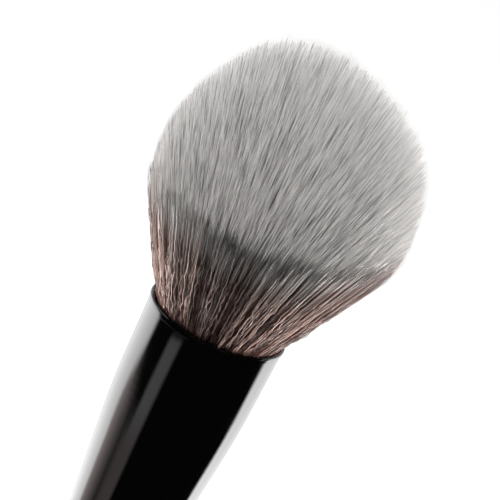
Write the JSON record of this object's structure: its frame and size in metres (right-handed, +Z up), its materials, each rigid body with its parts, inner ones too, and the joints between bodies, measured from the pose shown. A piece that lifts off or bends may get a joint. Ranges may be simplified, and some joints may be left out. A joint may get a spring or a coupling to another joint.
{
  "type": "kabuki makeup brush",
  "caption": "Short standing makeup brush with a round two-tone bristle head, a tapered gloss black ferrule and a flared grip on a flat base.",
  "frame": {"origin": "centre of the flat base that the brush stands on", "axes": "+Z up along the brush, from the base to the top of the bristle head; +X to the right in the picture, where the brush leans to the right"},
  "size_m": [0.0429, 0.0429, 0.1215],
  "materials": {
    "filament_brown": "crimped synthetic filament, dark reddish brown",
    "filament_grey": "synthetic filament, dark root and pale tip",
    "filament_white": "synthetic filament, pale tapered tip",
    "cured_resin": "cured epoxy",
    "thread": "waxed cotton",
    "ferrule_lacquer": "gloss black lacquer",
    "grip_lacquer": "gloss black lacquer",
    "steel": "turned steel",
    "cap_plastic": "fine matte black"
  },
  "bodies": {
    "root": {"outer_filaments": "filament_brown", "middle_filaments": "filament_grey", "centre_filaments": "filament_white", "knot_resin": "cured_resin", "binding_thread": "thread", "ferrule": "ferrule_lacquer", "handle_adhesive": "cured_resin", "handle": "grip_lacquer", "weight": "steel", "base_cap": "cap_plastic"}
  },
  "joints": []
}
